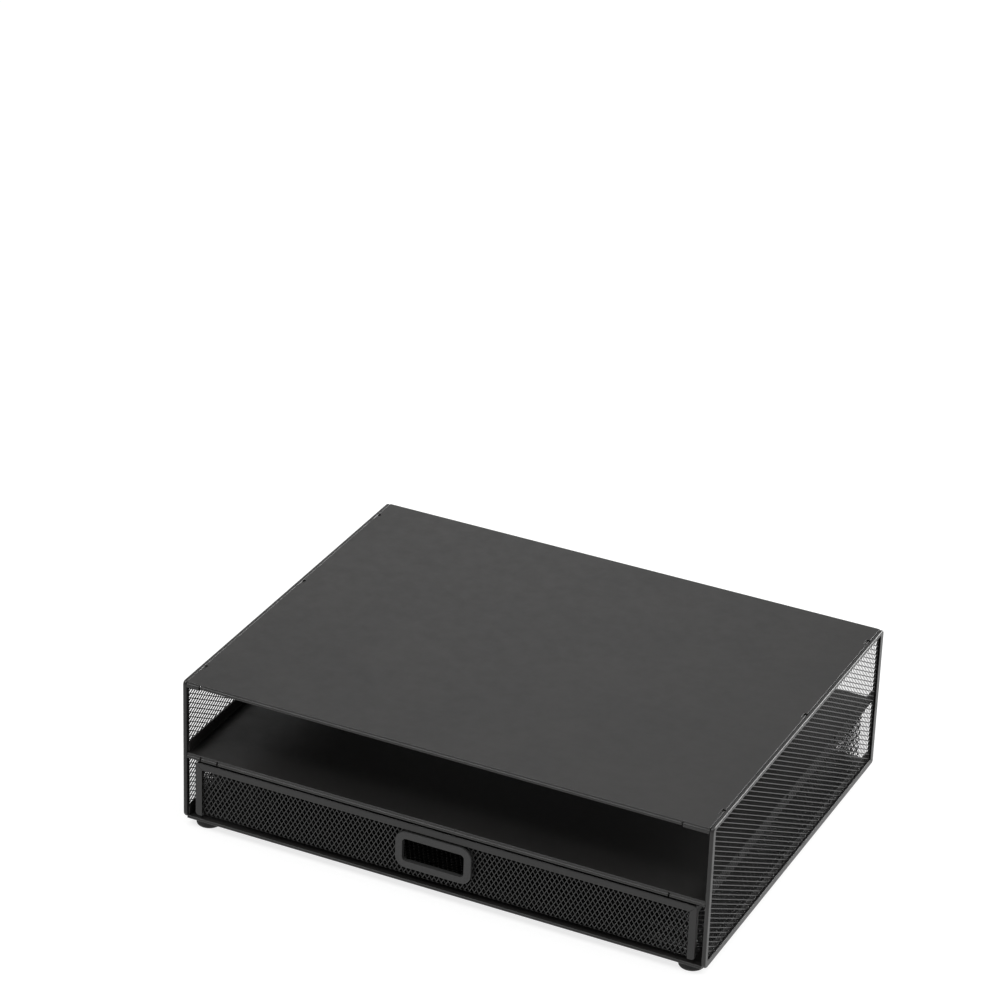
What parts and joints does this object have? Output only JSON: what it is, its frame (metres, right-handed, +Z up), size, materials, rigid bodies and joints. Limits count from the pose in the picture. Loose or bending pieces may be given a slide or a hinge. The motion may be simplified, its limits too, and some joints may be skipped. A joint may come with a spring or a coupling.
{
  "type": "monitor riser stand",
  "caption": "Black steel monitor riser stand with mesh sides, an open shelf under a solid top panel, and a mesh drawer with a finger pull that slides out below.",
  "frame": {"origin": "centre of the footprint, on the plane that the feet stand on", "axes": "+Z up, +X along the width, -Y towards the side that the drawer opens to"},
  "size_m": [0.39, 0.3, 0.114],
  "materials": {
    "panel_coat": "satin powder coat, dark charcoal grey",
    "frame_coat": "satin powder coat, near black",
    "mesh_coat": "satin powder coat over expanded metal, near black",
    "pull_plastic": "fine matte moulded plastic, near black",
    "foot_rubber": "matte black rubber",
    "rivet_steel": "blackened steel"
  },
  "bodies": {
    "cabinet": {"top_panel": "panel_coat", "left_side_frame": "frame_coat", "right_side_frame": "frame_coat", "left_side_mesh": "mesh_coat", "right_side_mesh": "mesh_coat", "shelf_panel": "panel_coat", "bottom_panel": "panel_coat", "top_panel_hooks": "frame_coat", "shelf_weld_pads": "frame_coat", "bottom_weld_pads": "frame_coat", "left_drawer_runner": "frame_coat", "right_drawer_runner": "frame_coat", "drawer_back_stops": "frame_coat", "front_left_foot": "foot_rubber", "front_right_foot": "foot_rubber", "back_left_foot": "foot_rubber", "back_right_foot": "foot_rubber", "foot_rivets": "rivet_steel"},
    "drawer": {"drawer_front_border": "frame_coat", "drawer_front_mesh": "mesh_coat", "drawer_back_mesh": "mesh_coat", "drawer_floor_mesh": "mesh_coat", "drawer_left_mesh": "mesh_coat", "drawer_right_mesh": "mesh_coat", "drawer_left_rim": "frame_coat", "drawer_right_rim": "frame_coat", "drawer_back_rim": "frame_coat", "drawer_stop_lugs": "frame_coat", "pull_bezel": "pull_plastic", "pull_backing_ring": "pull_plastic", "pull_studs": "rivet_steel"}
  },
  "joints": [
    {"name": "drawer_slide", "type": "slide", "parent": "cabinet", "child": "drawer", "axis": [0, -1, 0], "range_m": [0, 0.22]}
  ]
}
